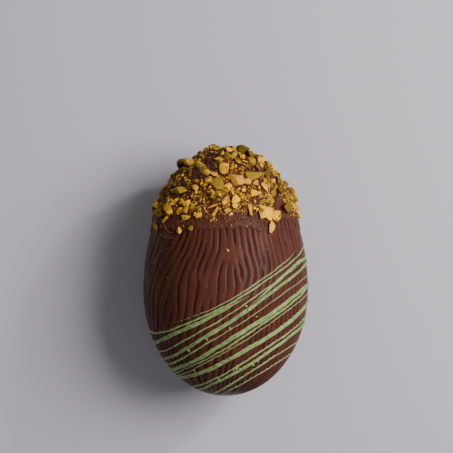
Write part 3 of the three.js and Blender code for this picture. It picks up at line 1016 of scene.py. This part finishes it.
rough = Finish("rough_chocolate", Specular_IOR_Level=0.09)
grain = rough.noise(1.2 * MM, 4.0, 0.6)
# The dark colour goes where the grain and its bump are low: a darker tone that varies, and also painted shade
# in the pits.
rough.feed("Base Color", rough.blend(rough.rise(grain, 0.35, 0.65), ROUGH_DARK_AND_PIT_SHADE, ROUGH_LIGHT))
rough.feed("Roughness", 0.28 + 0.2 * grain)
rough.bump(grain, 0.35 * MM)
for piece in (coat, grit):
    piece.data.materials.append(rough.material)
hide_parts("pistachio_cap")

# The curl's browns are much lighter than the coat's: painted highlight on its strands, which lie on the dimly
# lit left side.
shiny = Finish("shiny_chocolate", Specular_IOR_Level=0.35, Roughness=0.3)
shiny.feed("Base Color", shiny.blend(shiny.noise(3 * MM), SHINY_DARK, SHINY_PAINTED_HIGHLIGHT))
curl.data.materials.append(shiny.material)

# %% [markdown]
# ## The nuts and the green chocolate
#
# Cut pistachio is olive to cream, with brown or olive skin left on its round outside. A material for each
# nut would be slow to change, so each copy keeps its tint on the mesh, and one ramp turns tints into
# colours. Where the green chocolate is thin the brown shows through, so a browner green is mixed in there.

# %% Chopped pistachio
NUT_TINTS = (
    (0.00, (0.085, 0.050, 0.004, 1)), (0.25, (0.170, 0.098, 0.009, 1)), (0.45, (0.290, 0.162, 0.015, 1)),
    (0.60, (0.400, 0.237, 0.022, 1)), (0.66, (0.620, 0.430, 0.035, 1)), (0.72, (0.500, 0.208, 0.024, 1)),
    (0.86, (0.760, 0.345, 0.024, 1)), (1.00, (0.980, 0.490, 0.024, 1)),
)
SKIN_BROWN = (0.080, 0.026, 0.014, 1)
SKIN_OLIVE = (0.110, 0.065, 0.008, 1)
SKIN_COVERS = 0.8
TINT_SPREAD = 0.44
SPECK_DARK = (0.120, 0.062, 0.042, 1)
SPECK_LIGHT = (0.400, 0.270, 0.170, 1)

nut = Finish("chopped_pistachio", Specular_IOR_Level=0.05)
tint = nut.attribute("tint")
flesh = nut.ramp(tint + TINT_SPREAD * nut.noise(2.2 * MM) - TINT_SPREAD / 2, NUT_TINTS)
skin_colour = nut.blend(nut.rise(nut.noise(5 * MM), 0.42, 0.58), SKIN_OLIVE, SKIN_BROWN)
skinned = nut.attribute("skin") * nut.rise(nut.noise(7 * MM), 0.40, 0.52)
nut.feed("Base Color", nut.blend(SKIN_COVERS * skinned, flesh, skin_colour))
nut.feed("Roughness", 0.45 + 0.2 * nut.noise(1.5 * MM))
nut.bump(nut.noise(1.6 * MM, 5.0, 0.6), 0.4 * MM)
for piece in (slabs, chips, crumbs, dust):
    piece.data.materials.append(nut.material)

pale = Finish("pale_specks", Specular_IOR_Level=0.2, Roughness=0.4)
pale.feed("Base Color", pale.blend(pale.noise(9 * MM), SPECK_DARK, SPECK_LIGHT))
specks.data.materials.append(pale.material)

# %% Green chocolate
GREEN_LIGHT = (0.247, 0.345, 0.122, 1)
GREEN_DEEP = (0.160, 0.232, 0.070, 1)
GREEN_THIN = (0.240, 0.213, 0.120, 1)

green = Finish("green_chocolate", Specular_IOR_Level=0.22)
shade = green.blend(green.rise(green.noise(5 * MM), 0.3, 0.7), GREEN_DEEP, GREEN_LIGHT)
thin = green.attribute("thin") * green.rise(green.noise(4 * MM), 0.35, 0.65)
green.feed("Base Color", green.blend(thin, shade, GREEN_THIN))
green.feed("Roughness", 0.38 + 0.15 * green.noise(2 * MM))
green.bump(green.noise(0.9 * MM, 3.0, 0.6), 0.08 * MM)
for piece in (drizzle, flakes):
    piece.data.materials.append(green.material)

# %% [markdown]
# ## The floor, the camera and the lights
#
# The egg lies on a wide pale floor. A large soft light comes from the right, a small one makes the glints,
# and a dim white sky fills the shades. A picture of a sky could light it too, but lights are easier to aim.

# %% The floor and the camera
FLOOR_SIZE = 6
FLOOR_COLOUR = (0.44, 0.42, 0.467, 1)
SENSOR = 36
PICTURE_SIDE = 453
FOCAL_PIXELS = 2123.5
CAMERA_HEIGHT = 1.5
CAMERA_ALONG = 43.18 * MM
CAMERA_ACROSS = 0.54 * MM

bpy.ops.mesh.primitive_plane_add(size=FLOOR_SIZE, location=(0, 0, 0))
floor = bpy.context.object
floor.name = "floor"
floor_finish = Finish("pale_floor", Roughness=0.9, Base_Color=FLOOR_COLOUR)
floor.data.materials.append(floor_finish.material)

camera_data = bpy.data.cameras.new("camera")
camera_data.sensor_width = SENSOR
camera_data.lens = FOCAL_PIXELS / PICTURE_SIDE * SENSOR
camera = bpy.data.objects.new("camera", camera_data)
camera.location = (WIDEST[0] + CAMERA_ACROSS, WIDEST[1] + CAMERA_ALONG, CAMERA_HEIGHT)
bpy.context.collection.objects.link(camera)
bpy.context.scene.camera = camera
print("the camera is", CAMERA_HEIGHT, "m up, with a lens of", round(camera_data.lens, 1), "mm")

# %% The lights
# Name, side in metres, place, and watts.
LIGHTS = (("key", 0.6, (0.66, 0.22, 0.92), 19.5), ("glint", 0.07, (0.72, 0.50, 0.70), 2.4))
LIT_POINT = (0, 0, 0.06)
SKY_STRENGTH = 0.285

for name, side, place, power in LIGHTS:
    data = bpy.data.lights.new(name, "AREA")
    data.size = side
    data.energy = power
    light = bpy.data.objects.new(name, data)
    light.location = place
    light.rotation_euler = (Vector(LIT_POINT) - Vector(place)).to_track_quat("-Z", "Y").to_euler()
    bpy.context.collection.objects.link(light)

world = bpy.data.worlds.new("studio")
world.use_nodes = True
background = world.node_tree.nodes["Background"]
background.inputs["Color"].default_value = (1, 1, 1, 1)
background.inputs["Strength"].default_value = SKY_STRENGTH
bpy.context.scene.world = world
